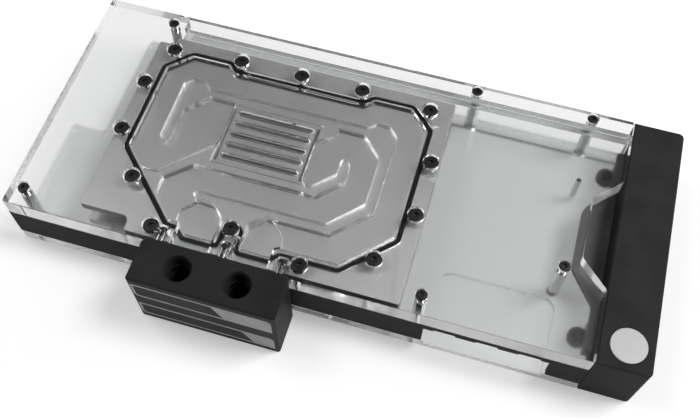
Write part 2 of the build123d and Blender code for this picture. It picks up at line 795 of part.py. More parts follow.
# Bracket in the notch: a top plate on two posts, each with a foot on the lower cover
with BuildPart() as end_insert:
    with BuildSketch(corner.offset(z_floor + bracket_h - bracket_t)):
        add(closed_face([
            (cover_l + end_wall + 0.5, bracket_end_gap),
            (cover_l + end_wall + 0.5, block_d - bracket_end_gap),
            (bracket_x + bracket_step, block_d - bracket_end_gap),
            (bracket_x + bracket_step, block_d - bracket_end_gap - bracket_step_y),
            (bracket_x, block_d - bracket_end_gap - bracket_step_y - 1.4 * bracket_step),
            (bracket_x, bracket_end_gap + bracket_step_y + 1.4 * bracket_step),
            (bracket_x + bracket_step, bracket_end_gap + bracket_step_y),
            (bracket_x + bracket_step, bracket_end_gap),
        ], [0.5, 0.5, 1.5, 5, 8, 8, 5, 1.5]))
    extrude(amount=bracket_t)
    with BuildSketch(corner.offset(z_floor)):
        with Locations(*[(post_x, y) for _, y in foot_places]):
            Rectangle(cover_l - post_x - seat_gap, post_w, align=(Align.MIN, Align.CENTER))
    extrude(amount=bracket_h - bracket_t)
    with BuildSketch(corner.offset(z_floor + slot_floor - lower_t)):
        with Locations(*[(cover_l - 0.5, y) for _, y in foot_places]):
            Rectangle(post_l + 0.5, post_w, align=(Align.MIN, Align.CENTER))
    extrude(amount=bracket_h - bracket_t - slot_floor + lower_t)
    with BuildSketch(corner.offset(z_floor)):
        with Locations(*foot_places):
            Circle(foot_r)
    extrude(amount=foot_t)
    with Locations(*[at(x, y, z_floor + foot_t) for x, y in foot_places]):
        Hole(m3_r + hole_gap, depth=foot_t)
    with Locations(*[from_below(cover_l + 0.65 * post_l, y, slot_floor) for _, y in foot_places]):
        Hole(m3_r + thread_gap, depth=foot_screw_depth + 0.5)
end_insert.part.label = "end_insert"

# Black end cover: a hollow cap with a slot for the board's end and the bracket
boss_places = [(cover_l + 0.65 * post_l, y) for _, y in foot_places]
with BuildPart() as end_cover:
    with BuildSketch(corner):
        add(closed_face([
            (cover_l, 0),
            (block_l, 0),
            (block_l, block_d),
            (cover_l, block_d),
        ], [0, end_r, end_r, 0]))
    extrude(amount=z_top)
    chamfer(end_cover.edges().group_by(Axis.Z)[-1], length=0.6)
    with BuildSketch(corner.offset(end_wall)):
        with Locations((cover_l + end_wall, end_wall)):
            Rectangle(end_l - 2 * end_wall, block_d - 2 * end_wall, align=(Align.MIN, Align.MIN))
    extrude(amount=z_top - 2 * end_wall, mode=Mode.SUBTRACT)
    with BuildSketch(corner.offset(slot_floor)):
        with Locations((cover_l - 1, mid_y)):
            Rectangle(end_l / 2, block_d - 2 * bracket_end_gap + 0.6, align=(Align.MIN, Align.CENTER))
    extrude(amount=z_floor + bracket_h + seat_gap - slot_floor, mode=Mode.SUBTRACT)
    with BuildSketch(corner.offset(end_wall / 2)):
        with Locations(*boss_places):
            Circle(foot_r - 1.0)
    extrude(amount=slot_floor - end_wall / 2)
    with Locations(*[from_below(x, y, 0) for x, y in boss_places]):
        CounterBoreHole(m3_r + hole_gap, m3_head_r + head_gap, m3_head_h + m3_bury, slot_floor + 1)
    with BuildSketch(corner.offset(z_top)):
        with Locations((cover_l + end_l / 2 + badge_shift, badge_in)):
            Circle(badge_r + seat_gap)
    extrude(amount=badge_proud - badge_t, mode=Mode.SUBTRACT)
end_cover.part.label = "end_cover"

# Plain metal disc set in the end cover
with BuildPart() as end_badge:
    with BuildSketch(corner.offset(z_top + badge_proud)):
        with Locations((cover_l + end_l / 2 + badge_shift, badge_in)):
            Circle(badge_r)
    extrude(amount=-badge_t)
    chamfer(end_badge.edges().group_by(Axis.Z)[-1], length=0.25)
end_badge.part.label = "end_badge"

m3_foot_screw = socket_screw(m3_head_r, m3_head_h, m3_r, foot_t + foot_screw_depth, m3_socket)
with BuildPart() as insert_screws:
    with Locations(*[at(x, y, z_floor + foot_t) for x, y in foot_places]):
        add(m3_foot_screw)
insert_screws.part.label = "insert_screws"

m3_end_screw = socket_screw(
    m3_head_r, m3_head_h, m3_r, slot_floor - m3_head_h - m3_bury + foot_screw_depth, m3_socket
)
with BuildPart() as end_cover_screws:
    with Locations(*[from_below(x, y, m3_head_h + m3_bury) for x, y in boss_places]):
        add(m3_end_screw)
end_cover_screws.part.label = "end_cover_screws"

pieces = [
    top_cover, cold_plate, cold_plate_gasket, jet_plate, cover_screws, standoffs,
    standoff_screws, lower_standoff_screws, terminal_block, terminal_gaskets,
    terminal_screws, side_frame, rear_wall, lower_cover, rear_cold_plate, rear_gasket,
    rear_screws, end_insert, end_cover, end_badge, insert_screws, end_cover_screws,
]
for piece in pieces:
    export_step(piece.part, f"parts/{piece.part.label}.step")
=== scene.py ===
"""Dressed model of a liquid cooling block for a graphics card.

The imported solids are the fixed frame. Each sub-assembly below is a class that holds its
sizes in metres, builds finer meshes over the solids and dresses them with a finish. X runs
along the block, Y from the ports to the back and Z up, with the origin at the bottom centre.
"""

import logging
import math
from dataclasses import dataclass, field
from enum import Enum
from typing import Callable

import bmesh
import bpy
from mathutils import Matrix, Vector


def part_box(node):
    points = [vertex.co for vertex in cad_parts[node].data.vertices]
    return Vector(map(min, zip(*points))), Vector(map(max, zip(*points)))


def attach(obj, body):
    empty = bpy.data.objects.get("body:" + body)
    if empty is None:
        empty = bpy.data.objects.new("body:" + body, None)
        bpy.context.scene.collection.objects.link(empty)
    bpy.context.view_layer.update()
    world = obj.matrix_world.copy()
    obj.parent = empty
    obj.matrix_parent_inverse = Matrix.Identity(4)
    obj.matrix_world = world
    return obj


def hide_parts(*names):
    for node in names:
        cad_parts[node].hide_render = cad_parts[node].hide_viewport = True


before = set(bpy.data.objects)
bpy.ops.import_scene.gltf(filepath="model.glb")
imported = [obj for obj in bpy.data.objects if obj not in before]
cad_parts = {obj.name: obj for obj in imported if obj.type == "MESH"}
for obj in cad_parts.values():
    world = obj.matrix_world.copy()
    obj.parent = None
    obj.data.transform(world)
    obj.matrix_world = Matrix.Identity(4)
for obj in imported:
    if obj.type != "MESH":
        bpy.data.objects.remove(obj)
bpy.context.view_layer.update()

MM = 0.001
BODY = "root"
WELD_GAP = 1e-6
ORDER_DIGITS = 6
NOISE_LOW = 0.3
NOISE_HIGH = 0.7
FLAT_DEGREES = 0.4
EDGE_DEGREES = 32.0
EDGE_SEGMENTS = 2

Pair = tuple[float, float]
Triple = tuple[float, float, float]
Socket = bpy.types.NodeSocket

log = logging.getLogger("water_block")


class Facing(Enum):
    """The side a screw's head looks to, as a turn about X from heads up."""

    UP = 0.0
    DOWN = math.pi
    BACK = -math.pi / 2


class Grain(Enum):
    """How fine lines run over a face, as a stretch of its noise along each axis."""

    ALONG_X = (0.03, 1.0, 1.0)
    NONE = (1.0, 1.0, 1.0)


# Node trees


@dataclass
class Tree:
    """The nodes of a material or a world, with short calls to add and join them."""

    owner: bpy.types.Material | bpy.types.World
    nodes: bpy.types.Nodes = field(init=False)
    links: bpy.types.NodeLinks = field(init=False)

    def __post_init__(self) -> None:
        """Start from an empty tree."""
        self.owner.use_nodes = True
        self.nodes = self.owner.node_tree.nodes
        self.links = self.owner.node_tree.links
        self.nodes.clear()

    def add(self, kind: str, inputs: dict[str, object] | None = None, **options: object) -> bpy.types.Node:
        """Add one node.

        Args:
            kind: The node's type without its common prefix.
            inputs: Values or sockets for the node's inputs by name.
            options: Properties set on the node itself.

        Returns:
            The new node.
        """
        node = self.nodes.new("ShaderNode" + kind)
        for name, value in options.items():
            setattr(node, name, value)
        for name, value in (inputs or {}).items():
            self.feed(node, name, value)
        return node

    def feed(self, node: bpy.types.Node, name: str | int, value: object) -> None:
        """Link a socket to an input, or set the input's value.

        Args:
            node: The node whose input is fed.
            name: The input's name or number.
            value: An output socket or a plain value.
        """
        if isinstance(value, bpy.types.NodeSocket):
            self.links.new(value, node.inputs[name])
        else:
            node.inputs[name].default_value = value

    def maths(self, operation: str, *values: object) -> Socket:
        """Run one sum.

        Args:
            operation: The sum's name.
            values: Up to three sockets or plain values.

        Returns:
            The result.
        """
        node = self.add("Math", operation=operation)
        for index, value in enumerate(values):
            self.feed(node, index, value)
        return node.outputs[0]

    def noise(self, place: Socket, scale: float, detail: float) -> Socket:
        """Make grey noise over a place.

        Args:
            place: Coordinates in metres.
            scale: Blobs for each metre.
            detail: Octaves of finer noise.

        Returns:
            The noise value, about 0 to 1.
        """
        return self.add("TexNoise", {"Vector": place, "Scale": scale, "Detail": detail}).outputs["Fac"]

    def spread(self, value: Socket, low: float, high: float) -> Socket:
        """Map the middle of a noise's range to low..high."""
        span = {"Value": value, "From Min": NOISE_LOW, "From Max": NOISE_HIGH, "To Min": low, "To Max": high}
        return self.add("MapRange", span).outputs["Result"]

    def tint(self, colour: Triple, value: Socket, low: float, high: float) -> Socket:
        """Vary a colour's brightness with a noise.

        Args:
            colour: The colour at full brightness.
            value: The noise.
            low: Brightness where the noise is low.
            high: Brightness where the noise is high.

        Returns:
            The varied colour.
        """
        node = self.add("VectorMath", operation="SCALE")
        self.feed(node, 0, colour)
        self.feed(node, "Scale", self.spread(value, low, high))
        return node.outputs[0]

    def bump(self, height: Socket, strength: float, distance: float) -> Socket:
        """Give fine relief as a normal, from a height."""
        inputs = {"Height": height, "Strength": strength, "Distance": distance}
        return self.add("Bump", inputs).outputs["Normal"]

    def position(self) -> Socket:
        """Give the shaded point in the object's own metres."""
        return self.add("TexCoord").outputs["Object"]

    def stretched(self, place: Socket, grain: Grain) -> Socket:
        """Squeeze coordinates so that noise turns into lines.

        Args:
            place: Coordinates in metres.
            grain: The way that the lines run.

        Returns:
            The squeezed coordinates.
        """
        node = self.add("VectorMath", operation="MULTIPLY")
        self.feed(node, 0, place)
        self.feed(node, 1, grain.value)
        return node.outputs[0]

    def close(self, shader: Socket, kind: str = "OutputMaterial") -> bpy.types.Material | bpy.types.World:
        """Join the last shader to the output.

        Args:
            shader: The finished shader.
            kind: The output node's type.

        Returns:
            The material or world that the tree belongs to.
        """
        self.add(kind, {"Surface": shader})
        return self.owner


# Finishes


@dataclass(frozen=True)
class Finish:
    """What every finish shares: its name and how to make its material once."""

    name: str

    def material(self) -> bpy.types.Material:
        """Give the finish's material, which is made on first use.

        Returns:
            The material, under a name of its own.
        """
        name = self.name + "_finish"
        made = bpy.data.materials.get(name)
        return made or self.make(Tree(bpy.data.materials.new(name)))

    def make(self, tree: Tree) -> bpy.types.Material:
        """Build the node tree; each kind of finish has its own."""
        raise NotImplementedError


@dataclass(frozen=True)
class Metal(Finish):
    """Bare or plated metal with fine lines and soft blotches."""

    colour: Triple
    roughness: float
    spread: float = 0.05
    grain: Grain = Grain.NONE
    lines_per_metre: float = 2600.0
    blotches_per_metre: float = 24.0
    detail: float = 3.0
    shade: Pair = (0.96, 1.04)
    depth: float = 0.25
    relief: float = 0.02 * MM

    def make(self, tree: Tree) -> bpy.types.Material:
        """Build the metal with grain in its gloss and relief and blotches in its colour.

        Args:
            tree: The empty tree to fill.

        Returns:
            The finished material.
        """
        place = tree.position()
        lines = tree.noise(tree.stretched(place, self.grain), self.lines_per_metre, self.detail)
        blotches = tree.noise(place, self.blotches_per_metre, self.detail)
        shader = tree.add("BsdfPrincipled", {
            "Base Color": tree.tint(self.colour, blotches, *self.shade),
            "Metallic": 1.0,
            "Roughness": tree.spread(lines, self.roughness - self.spread, self.roughness + self.spread),
            "Normal": tree.bump(lines, self.depth, self.relief),
        })
        return tree.close(shader.outputs["BSDF"])


@dataclass(frozen=True)
class Black(Finish):
    """Matte dark coat or plastic with fine grain, by its colour and gloss."""

    colour: Triple
    roughness: float
    specular: float
    spread: float = 0.06
    grains_per_metre: float = 5200.0
    grain_detail: float = 2.0
    clouds_per_metre: float = 60.0
    cloud_detail: float = 4.0
    shade: Pair = (0.85, 1.2)
    depth: float = 0.3
    relief: float = 0.03 * MM

    def make(self, tree: Tree) -> bpy.types.Material:
        """Build the coat with fine grain and slow changes of colour and gloss.

        Args:
            tree: The empty tree to fill.

        Returns:
            The finished material.
        """
        place = tree.position()
        grain = tree.noise(place, self.grains_per_metre, self.grain_detail)
        cloud = tree.noise(place, self.clouds_per_metre, self.cloud_detail)
        shader = tree.add("BsdfPrincipled", {
            "Base Color": tree.tint(self.colour, cloud, *self.shade),
            "Roughness": tree.spread(cloud, self.roughness - self.spread, self.roughness + self.spread),
            "Specular IOR Level": self.specular,
            "Normal": tree.bump(grain, self.depth, self.relief),
        })
        return tree.close(shader.outputs["BSDF"])


@dataclass(frozen=True)
class Clear(Finish):
    """Clear acrylic, polished but for its level faces below a height, which are satin."""

    tone: Triple = (0.89, 0.895, 0.895)
    shadow_tone: Triple = (0.9, 0.905, 0.905)
    ior: float = 1.49
    roughness: float = 0.015
    spread: float = 0.0075
    satin: float = 0.16
    satin_height: float = 25.7 * MM
    level_limit: float = 0.5
    marks_per_metre: float = 1500.0
    clouds_per_metre: float = 40.0
    detail: float = 2.0
    depth: float = 0.012
    relief: float = 0.01 * MM

    def make(self, tree: Tree) -> bpy.types.Material:
        """Build acrylic that bends the view and lets lamps through to what lies below.

        Args:
            tree: The empty tree to fill.

        Returns:
            The finished material.
        """
        place = tree.position()
        marks = tree.noise(tree.stretched(place, Grain.ALONG_X), self.marks_per_metre, self.detail)
        cloud = tree.noise(place, self.clouds_per_metre, self.detail)
        polish = tree.spread(cloud, self.roughness - self.spread, self.roughness + self.spread)
        body = tree.add("BsdfPrincipled", {
            "Base Color": (*self.tone, 1.0),
            "Roughness": tree.maths("MULTIPLY_ADD", self.satin_mask(tree, place), self.satin, polish),
            "IOR": self.ior,
            "Transmission Weight": 1.0,
            "Normal": tree.bump(marks, self.depth, self.relief),
        })
        through = tree.add("BsdfTransparent", {"Color": (*self.shadow_tone, 1.0)})
        mix = tree.add("MixShader")
        tree.feed(mix, 0, tree.add("LightPath").outputs["Is Shadow Ray"])
        tree.feed(mix, 1, body.outputs["BSDF"])
        tree.feed(mix, 2, through.outputs["BSDF"])
        return tree.close(mix.outputs["Shader"])

    def satin_mask(self, tree: Tree, place: Socket) -> Socket:
        """Find the satin faces.

        Args:
            tree: The tree to add to.
            place: Coordinates in metres.

        Returns:
            1 on level faces under the satin height, 0 elsewhere.
        """
        normal = tree.add("SeparateXYZ", {"Vector": tree.add("TexCoord").outputs["Normal"]})
        height = tree.add("SeparateXYZ", {"Vector": place})
        slope = tree.maths("ABSOLUTE", normal.outputs["Z"])
        level = tree.maths("GREATER_THAN", slope, self.level_limit)
        low = tree.maths("LESS_THAN", height.outputs["Z"], self.satin_height)
        return tree.maths("MULTIPLY", level, low)


@dataclass(frozen=True)
class Rubber(Finish):
    """Matte black rubber with a faint moulded skin."""

    colour: Triple = (0.008, 0.008, 0.008)
    roughness: float = 0.6
    spread: float = 0.08
    specular: float = 0.1
    grains_per_metre: float = 3000.0
    detail: float = 2.0
    shade: Pair = (0.8, 1.3)
    depth: float = 0.2
    relief: float = 0.02 * MM

    def make(self, tree: Tree) -> bpy.types.Material:
        """Build the rubber with a soft uneven sheen.

        Args:
            tree: The empty tree to fill.

        Returns:
            The finished material.
        """
        skin = tree.noise(tree.position(), self.grains_per_metre, self.detail)
        shader = tree.add("BsdfPrincipled", {
            "Base Color": tree.tint(self.colour, skin, *self.shade),
            "Roughness": tree.spread(skin, self.roughness - self.spread, self.roughness + self.spread),
            "Specular IOR Level": self.specular,
            "Normal": tree.bump(skin, self.depth, self.relief),
        })
        return tree.close(shader.outputs["BSDF"])


@dataclass(frozen=True)
class Backdrop(Finish):
    """Pale floor that reads as white to the camera and keeps a shadow."""

    albedo: float = 0.92
    lift: float = 0.36

    def make(self, tree: Tree) -> bpy.types.Material:
        """Build a matte floor with a little of its own light where it is seen, not where it lights.

        Args:
            tree: The empty tree to fill.

        Returns:
            The finished material.
        """
        matte = tree.add("BsdfDiffuse", {"Color": (self.albedo, self.albedo, self.albedo, 1.0)})
        path = tree.add("LightPath").outputs
        seen = tree.maths("MAXIMUM", path["Is Camera Ray"], path["Is Glossy Ray"])
        seen = tree.maths("MAXIMUM", seen, path["Is Transmission Ray"])
        strength = tree.maths("MULTIPLY", seen, self.lift)
        glow = tree.add("Emission", {"Color": (1.0, 1.0, 1.0, 1.0), "Strength": strength})
        both = tree.add("AddShader")
        tree.feed(both, 0, matte.outputs["BSDF"])
        tree.feed(both, 1, glow.outputs["Emission"])
        return tree.close(both.outputs["Shader"])


NICKEL = Metal("nickel_plate", colour=(0.44, 0.44, 0.435), roughness=0.46, depth=0.1)
STEEL = Metal(
    "brushed_steel", colour=(0.46, 0.46, 0.455), roughness=0.44, spread=0.07,
    grain=Grain.ALONG_X, lines_per_metre=1100.0, depth=0.35,
)
POST_STEEL = Metal("turned_steel", colour=(0.55, 0.55, 0.55), roughness=0.22)
DISC = Metal("disc_metal", colour=(0.42, 0.42, 0.42), roughness=0.55, spread=0.03, depth=0.08)
BRACKET = Black("dark_bracket", colour=(0.115, 0.115, 0.115), roughness=0.5, specular=0.3)
ANODISED = Black("black_anodised", colour=(0.034, 0.034, 0.0345), roughness=0.55, specular=0.03)
ACETAL = Black("black_acetal", colour=(0.026, 0.026, 0.0265), roughness=0.48, specular=0.05)
OXIDE = Black("black_oxide", colour=(0.014, 0.014, 0.014), roughness=0.38, specular=0.3)
PRINT = Black("pale_print", colour=(0.4, 0.4, 0.4), roughness=0.6, specular=0.2)
ACRYLIC = Clear("clear_acrylic")
RUBBER = Rubber("black_rubber")


# Mesh helpers


def new_piece(name: str, mesh: bpy.types.Mesh, finish: Finish) -> bpy.types.Object:
    """Link a mesh as a piece that rides on the block.

    Args:
        name: The piece's name.
        mesh: Its mesh, in the row's frame.
        finish: The finish for all its faces.

    Returns:
        The new object.
    """
    piece = bpy.data.objects.new(name, mesh)
    bpy.context.scene.collection.objects.link(piece)
    mesh.materials.clear()
    mesh.materials.append(finish.material())
    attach(piece, BODY)
    return piece


def welded(node: str) -> bmesh.types.BMesh:
    """Read a CAD node's mesh and weld its seams.

    Args:
        node: The CAD node's name.

    Returns:
        A working mesh of the node.
    """
    bm = bmesh.new()
    bm.from_mesh(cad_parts[node].data)
    bmesh.ops.remove_doubles(bm, verts=bm.verts, dist=WELD_GAP)
    return bm


def shrink(bm: bmesh.types.BMesh, amount: float) -> None:
    """Draw every face of a mesh inwards by the same small amount.

    Args:
        bm: The working mesh to change.
        amount: How far the faces move, in metres.
    """
    bm.normal_update()
    moves = [(vert, vert.normal * amount * vert.calc_shell_factor()) for vert in bm.verts]
    for vert, move in moves:
        vert.co -= move


def clean_mesh(name: str, bm: bmesh.types.BMesh) -> bpy.types.Mesh:
    """Write a working mesh out as plain points and faces, and free it.

    Args:
        name: The new mesh's name.
        bm: The working mesh.

    Returns:
        The new mesh.
    """
    bm.verts.index_update()
    points = [tuple(vert.co) for vert in bm.verts]
    faces = [[vert.index for vert in face.verts] for face in bm.faces]
    bm.free()
    mesh = bpy.data.meshes.new(name)
    mesh.from_pydata(points, [], faces)
    mesh.update()
    return mesh


def shade_smooth(piece: bpy.types.Object, degrees: float) -> None:
    """Shade a piece smooth but for its edges sharper than some degrees.

    Args:
        piece: The object to change.
        degrees: The sharpest turn that still looks round.
    """
    for face in piece.data.polygons:
        face.use_smooth = True
    piece.data.set_sharp_from_angle(angle=math.radians(degrees))


def soften(piece: bpy.types.Object, width: float) -> None:
    """Round a piece's sharp edges and shade it smooth between them.

    Args:
        piece: The object to change.
        width: The rounding's width in metres.
    """
    bevel = piece.modifiers.new("edges", "BEVEL")
    bevel.width = width
    bevel.segments = EDGE_SEGMENTS
    bevel.limit_method = "ANGLE"
    bevel.angle_limit = math.radians(EDGE_DEGREES)
    bevel.use_clamp_overlap = True
    bevel.harden_normals = True
    shade_smooth(piece, EDGE_DEGREES)


def dressed_copy(
    node: str, ending: str, finish: Finish, inset: float, width: float
) -> bpy.types.Object:
    """Stand a soft-edged copy in for a CAD node.

    Args:
        node: The CAD node's name.
        ending: The word that the new piece's name adds to the node's.
        finish: Its finish.
        inset: How far the faces draw in, so that touching pieces don't share a face.
        width: The width of the rounded edges.

    Returns:
        The new piece.
    """
    name = f"{node}_{ending}"
    bm = welded(node)
    flat = math.radians(FLAT_DEGREES)
    bmesh.ops.dissolve_limit(bm, angle_limit=flat, verts=bm.verts, edges=bm.edges)
    shrink(bm, inset)
    piece = new_piece(name, clean_mesh(name, bm), finish)
    soften(piece, width)
    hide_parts(node)
    return piece


def islands(node: str) -> list[tuple[Vector, Vector]]:
    """Find each separate solid in a CAD node.

    Args:
        node: The CAD node's name.

    Returns:
        Each solid's lowest and highest corner, in the order of the lowest corners.
    """
    bm = welded(node)
    left = set(bm.verts)
    found = []
    while left:
        queue = [left.pop()]
        group = list(queue)
        while queue:
            for edge in queue.pop().link_edges:
                for vert in edge.verts:
                    if vert in left:
                        left.remove(vert)
                        queue.append(vert)
                        group.append(vert)
        low = Vector([min(vert.co[axis] for vert in group) for axis in range(3)])
        high = Vector([max(vert.co[axis] for vert in group) for axis in range(3)])
        found.append((low, high))
    bm.free()
    return sorted(found, key=lambda pair: tuple(round(value, ORDER_DIGITS) for value in pair[0]))


def ring(
    bm: bmesh.types.BMesh, radius: Callable[[float], float], height: float, count: int
) -> list[bmesh.types.BMVert]:
    """Add one closed loop of points round Z.

    Args:
        bm: The mesh to add to.
        radius: Gives the radius at an angle.
        height: The loop's height.
        count: Points in the loop.

    Returns:
        The loop's points in order.
    """
    angles = [2 * math.pi * step / count for step in range(count)]
    return [bm.verts.new((radius(a) * math.cos(a), radius(a) * math.sin(a), height)) for a in angles]


def bridge(bm: bmesh.types.BMesh, first: list[bmesh.types.BMVert], second: list[bmesh.types.BMVert]) -> None:
    """Join two loops of the same number of points with a band of faces.

    Args:
        bm: The mesh to add to.
        first: One loop's points.
        second: The other loop's points.
    """
    count = len(first)
    for step in range(count):
        following = (step + 1) % count
        bm.faces.new((first[step], first[following], second[following], second[step]))


def hexagon(across: float) -> Callable[[float], float]:
    """Give the radius of a hexagon at an angle, from its width across flats."""
    sector = math.pi / 3
    return lambda angle: across / 2 / math.cos((angle % sector) - sector / 2)


def rounded(corners: list[Triple], steps: int = 6) -> list[Pair]:
    """Draw a closed outline with round corners.

    Args:
        corners: Each corner's two coordinates and its radius, in order.
        steps: Lines across each rounding.

    Returns:
        The outline's points.
    """
    points = []
    for index, (across, up, radius) in enumerate(corners):
        here = Vector((across, up))
        before = (Vector(corners[index - 1][:2]) - here).normalized()
        after = (Vector(corners[(index + 1) % len(corners)][:2]) - here).normalized()
        half = before.angle(after) / 2
        centre = here + (before + after).normalized() * radius / math.sin(half)
        start = here + before * radius / math.tan(half) - centre
        end = here + after * radius / math.tan(half) - centre
        for step in range(steps + 1):
            points.append(tuple(centre + start.lerp(end, step / steps).normalized() * radius))
    return points


def thread_wave(angle: float, height: float, pitch: float) -> float:
    """Give the height of a screw thread's ridge, 0 to 1, at an angle and a height."""
    turn = (height / pitch - angle / (2 * math.pi)) % 1.0
    return 1.0 - abs(2.0 * turn - 1.0)


# Studio


@dataclass(frozen=True)
class Lamp:
    """A square soft lamp that faces the block: its place, the length of its side and its power."""

    place: Triple
    side: float
    watts: float


@dataclass
class Studio:
    """Floor, light and camera."""

    lens: float = 45.50
    sensor: float = 36.0
    eye: Triple = (0.05827, -0.20193, 0.3955)
    azimuth: float = 15.416
    elevation: float = 61.205
    roll: float = 0.975
    floor_half: float = 4.0
    floor_drop: float = 0.1 * MM
    wall_level: float = 0.9
    ceiling_level: float = 0.12
    wall_top: float = 0.12
    ceiling_start: float = 0.5
    bounces: int = 24
    lamps: tuple[Lamp, ...] = (
        Lamp((-0.66, 0.04, 1.20), 0.5, 3.2),
        Lamp((0.66, 0.26, 1.20), 0.5, 9.4),
        Lamp((-1.10, 0.25, 0.75), 0.8, 1.2),
        Lamp((1.10, 0.45, 0.72), 0.7, 1.6),
    )

    def floor(self) -> None:
        """Lay the pale floor just under the block."""
        half = self.floor_half
        bm = bmesh.new()
        corners = [(-half, -half), (half, -half), (half, half), (-half, half)]
        bm.faces.new([bm.verts.new((x, y, -self.floor_drop)) for x, y in corners])
        mesh = clean_mesh("floor", bm)
        mesh.materials.append(Backdrop("pale_floor").material())
        floor = bpy.data.objects.new("floor", mesh)
        bpy.context.scene.collection.objects.link(floor)

    def world(self) -> None:
        """Set bright walls and a dim ceiling, at full strength where the camera sees them."""
        world = bpy.data.worlds.new("studio")
        bpy.context.scene.world = world
        tree = Tree(world)
        direction = tree.add("SeparateXYZ", {"Vector": tree.add("TexCoord").outputs["Generated"]})
        fall = tree.add("MapRange", {
            "Value": direction.outputs["Z"],
            "From Min": self.wall_top,
            "From Max": self.ceiling_start,
            "To Min": self.wall_level,
            "To Max": self.ceiling_level,
        }, interpolation_type="SMOOTHSTEP")
        level = tree.add("Mix", {
            "Factor": tree.add("LightPath").outputs["Is Camera Ray"],
            "A": fall.outputs["Result"],
            "B": 1.0,
        })
        back = tree.add("Background", {"Strength": level.outputs["Result"]})
        tree.close(back.outputs["Background"], "OutputWorld")

    def light(self) -> None:
        """Hang the soft lamps, all facing the block."""
        for number, lamp in enumerate(self.lamps):
            data = bpy.data.lights.new(f"soft_lamp_{number}", "AREA")
            data.shape = "SQUARE"
            data.size = lamp.side
            data.energy = lamp.watts
            hung = bpy.data.objects.new(data.name, data)
            hung.location = lamp.place
            hung.rotation_euler = (-Vector(lamp.place)).to_track_quat("-Z", "Y").to_euler()
            bpy.context.scene.collection.objects.link(hung)

    def camera(self) -> None:
        """Set the camera at the photograph's place and angle."""
        azimuth, elevation, roll = (math.radians(v) for v in (self.azimuth, self.elevation, self.roll))
        back = Vector((
            math.sin(azimuth) * math.cos(elevation),
            -math.cos(azimuth) * math.cos(elevation),
            math.sin(elevation),
        ))
        right = Vector((0.0, 0.0, 1.0)).cross(back).normalized()
        up = back.cross(right)
        side = right * math.cos(roll) + up * math.sin(roll)
        top = up * math.cos(roll) - right * math.sin(roll)
        data = bpy.data.cameras.new("view")
        data.lens = self.lens
        data.sensor_width = self.sensor
        camera = bpy.data.objects.new("view", data)
        camera.matrix_world = Matrix.Translation(self.eye) @ Matrix((side, top, back)).transposed().to_4x4()
        bpy.context.scene.collection.objects.link(camera)
        bpy.context.scene.camera = camera

    def build(self) -> None:
        """Set up the whole studio and how far light is followed through the acrylic."""
        self.floor()
        self.world()
        self.light()
        self.camera()
        bpy.context.scene.view_settings.view_transform = "Standard"
        paths = bpy.context.scene.cycles
        paths.max_bounces = paths.glossy_bounces = self.bounces
        paths.transmission_bounces = paths.transparent_max_bounces = self.bounces
        paths.caustics_refractive = paths.caustics_reflective = False


# Sub-assemblies


@dataclass
class ClearShell:
    """The three clear pieces: top cover, lower cover and rear wall."""

    inset: float = 0.03 * MM
    edge: float = 0.35 * MM

    def build(self) -> list[bpy.types.Object]:
        """Make the polished copies of the clear pieces."""
        names = ("top_cover", "lower_cover", "rear_wall")
        return [dressed_copy(n, "polished", ACRYLIC, self.inset, self.edge) for n in names]


@dataclass
class ColdPlates:
    """The two plated plates and the steel jet plate."""

    inset: float = 0.0
    edge: float = 0.12 * MM

    def build(self) -> list[bpy.types.Object]:
        """Make the soft-edged plates.

        Returns:
            The three plates.
        """
        return [
            dressed_copy("cold_plate", "plated", NICKEL, self.inset, self.edge),
            dressed_copy("rear_cold_plate", "plated", NICKEL, self.inset, self.edge),
            dressed_copy("jet_plate", "satin", STEEL, self.inset, self.edge),
        ]


@dataclass
class Seals:
    """Gaskets of the two plates and rings of the terminal."""

    inset: float = 0.0
    edge: float = 0.3 * MM

    def build(self) -> list[bpy.types.Object]:
        """Make the soft-edged gaskets."""
        names = ("cold_plate_gasket", "rear_gasket", "terminal_gaskets")
        return [dressed_copy(n, "rubber", RUBBER, self.inset, self.edge) for n in names]


@dataclass(frozen=True)
class ScrewSize:
    """The sizes of one standard screw: its head, its shank, its hexagon and its thread."""

    head_r: float
    head_h: float
    shank_r: float
    socket: float
    pitch: float


M4 = ScrewSize(head_r=3.8 * MM, head_h=2.4 * MM, shank_r=2.0 * MM, socket=2.5 * MM, pitch=0.7 * MM)
M3 = ScrewSize(head_r=2.7 * MM, head_h=1.9 * MM, shank_r=1.5 * MM, socket=2.0 * MM, pitch=0.5 * MM)
M25 = ScrewSize(head_r=2.2 * MM, head_h=2.4 * MM, shank_r=1.25 * MM, socket=2.0 * MM, pitch=0.45 * MM)


